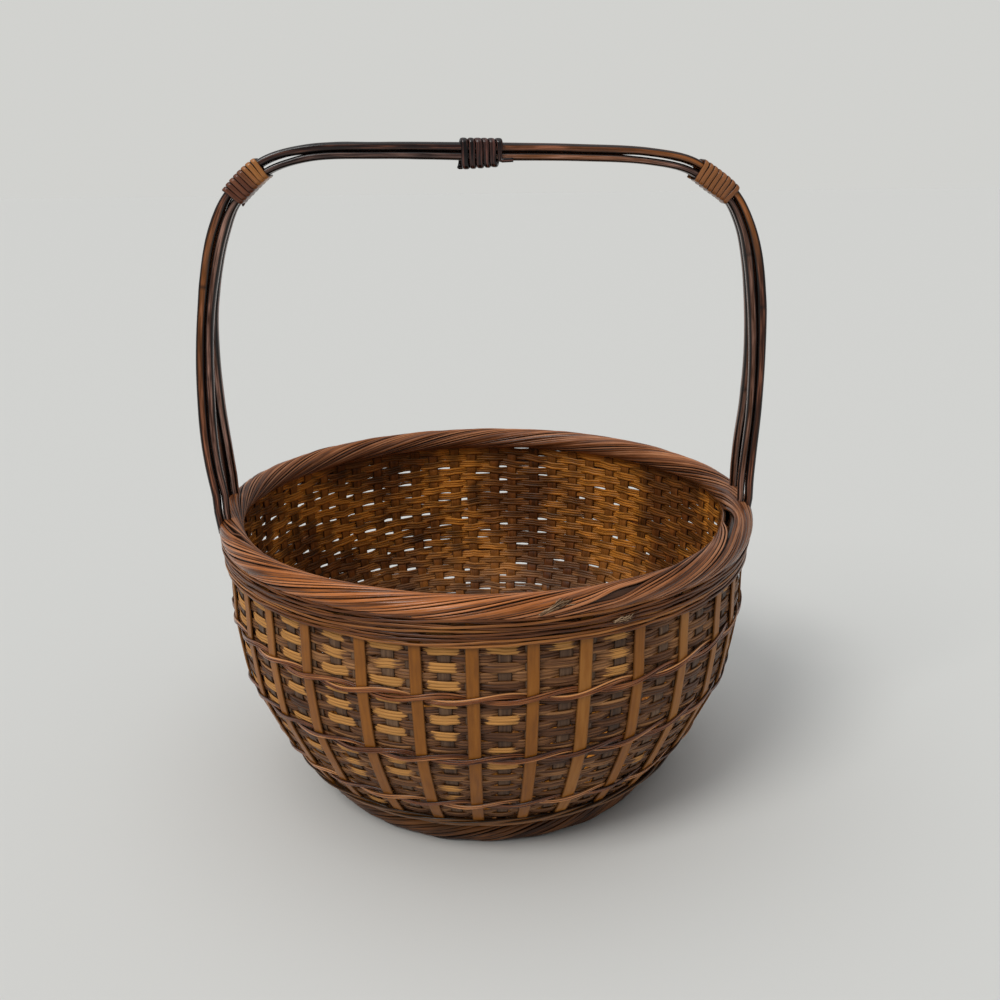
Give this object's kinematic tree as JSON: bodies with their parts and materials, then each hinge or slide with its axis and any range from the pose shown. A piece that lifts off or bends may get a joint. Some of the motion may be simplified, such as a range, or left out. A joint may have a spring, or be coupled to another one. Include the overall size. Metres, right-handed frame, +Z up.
{
  "type": "gathering basket",
  "caption": "Round woven bamboo gathering basket with flat overlay strips, twined bands, a rope-like rim and a fixed hoop handle bound at its corners.",
  "frame": {"origin": "centre of the foot ring on the surface that the basket stands on", "axes": "+Z up through the handle's top, handle in the XZ plane, front towards -Y"},
  "size_m": [0.2738, 0.265, 0.3186],
  "materials": {
    "woven_bamboo": "dark lacquer worn to golden brown, satin",
    "strip_bamboo": "thin warm brown lacquer, satin",
    "band_bamboo": "reddish brown lacquer, satin",
    "rim_bamboo": "reddish brown lacquer, worn, satin",
    "foot_bamboo": "very dark brown lacquer, satin",
    "handle_bamboo": "dark brown lacquer, semi-gloss",
    "binding_bamboo": "reddish to golden brown lacquer, satin"
  },
  "bodies": {
    "root": {"woven_wall": "woven_bamboo", "base_mat": "woven_bamboo", "overlay_strip_01": "strip_bamboo", "overlay_strip_02": "strip_bamboo", "overlay_strip_03": "strip_bamboo", "overlay_strip_04": "strip_bamboo", "overlay_strip_05": "strip_bamboo", "overlay_strip_06": "strip_bamboo", "overlay_strip_07": "strip_bamboo", "overlay_strip_08": "strip_bamboo", "overlay_strip_09": "strip_bamboo", "overlay_strip_10": "strip_bamboo", "overlay_strip_11": "strip_bamboo", "overlay_strip_12": "strip_bamboo", "overlay_strip_13": "strip_bamboo", "overlay_strip_14": "strip_bamboo", "overlay_strip_15": "strip_bamboo", "overlay_strip_16": "strip_bamboo", "overlay_strip_17": "strip_bamboo", "overlay_strip_18": "strip_bamboo", "overlay_strip_19": "strip_bamboo", "overlay_strip_20": "strip_bamboo", "overlay_strip_21": "strip_bamboo", "overlay_strip_22": "strip_bamboo", "overlay_strip_23": "strip_bamboo", "overlay_strip_24": "strip_bamboo", "overlay_strip_25": "strip_bamboo", "overlay_strip_26": "strip_bamboo", "overlay_strip_27": "strip_bamboo", "overlay_strip_28": "strip_bamboo", "overlay_strip_29": "strip_bamboo", "overlay_strip_30": "strip_bamboo", "overlay_strip_31": "strip_bamboo", "overlay_strip_32": "strip_bamboo", "lower_band_strand_a": "band_bamboo", "lower_band_strand_b": "band_bamboo", "middle_band_strand_a": "band_bamboo", "middle_band_strand_b": "band_bamboo", "upper_band_strand_a": "band_bamboo", "upper_band_strand_b": "band_bamboo", "collar_row_1": "band_bamboo", "collar_row_2": "band_bamboo", "collar_row_3": "band_bamboo", "rim_core": "rim_bamboo", "rim_strand_1": "rim_bamboo", "rim_strand_2": "rim_bamboo", "rim_strand_3": "rim_bamboo", "rim_strand_4": "rim_bamboo", "rim_strand_5": "rim_bamboo", "rim_strand_6": "rim_bamboo", "foot_hoop": "foot_bamboo", "foot_strand_a": "foot_bamboo", "foot_strand_b": "foot_bamboo", "front_outer_cane": "handle_bamboo", "front_inner_cane": "handle_bamboo", "back_outer_cane": "handle_bamboo", "back_inner_cane": "handle_bamboo", "left_corner_binding": "binding_bamboo", "right_corner_binding": "binding_bamboo", "centre_knot": "binding_bamboo"}
  },
  "joints": []
}
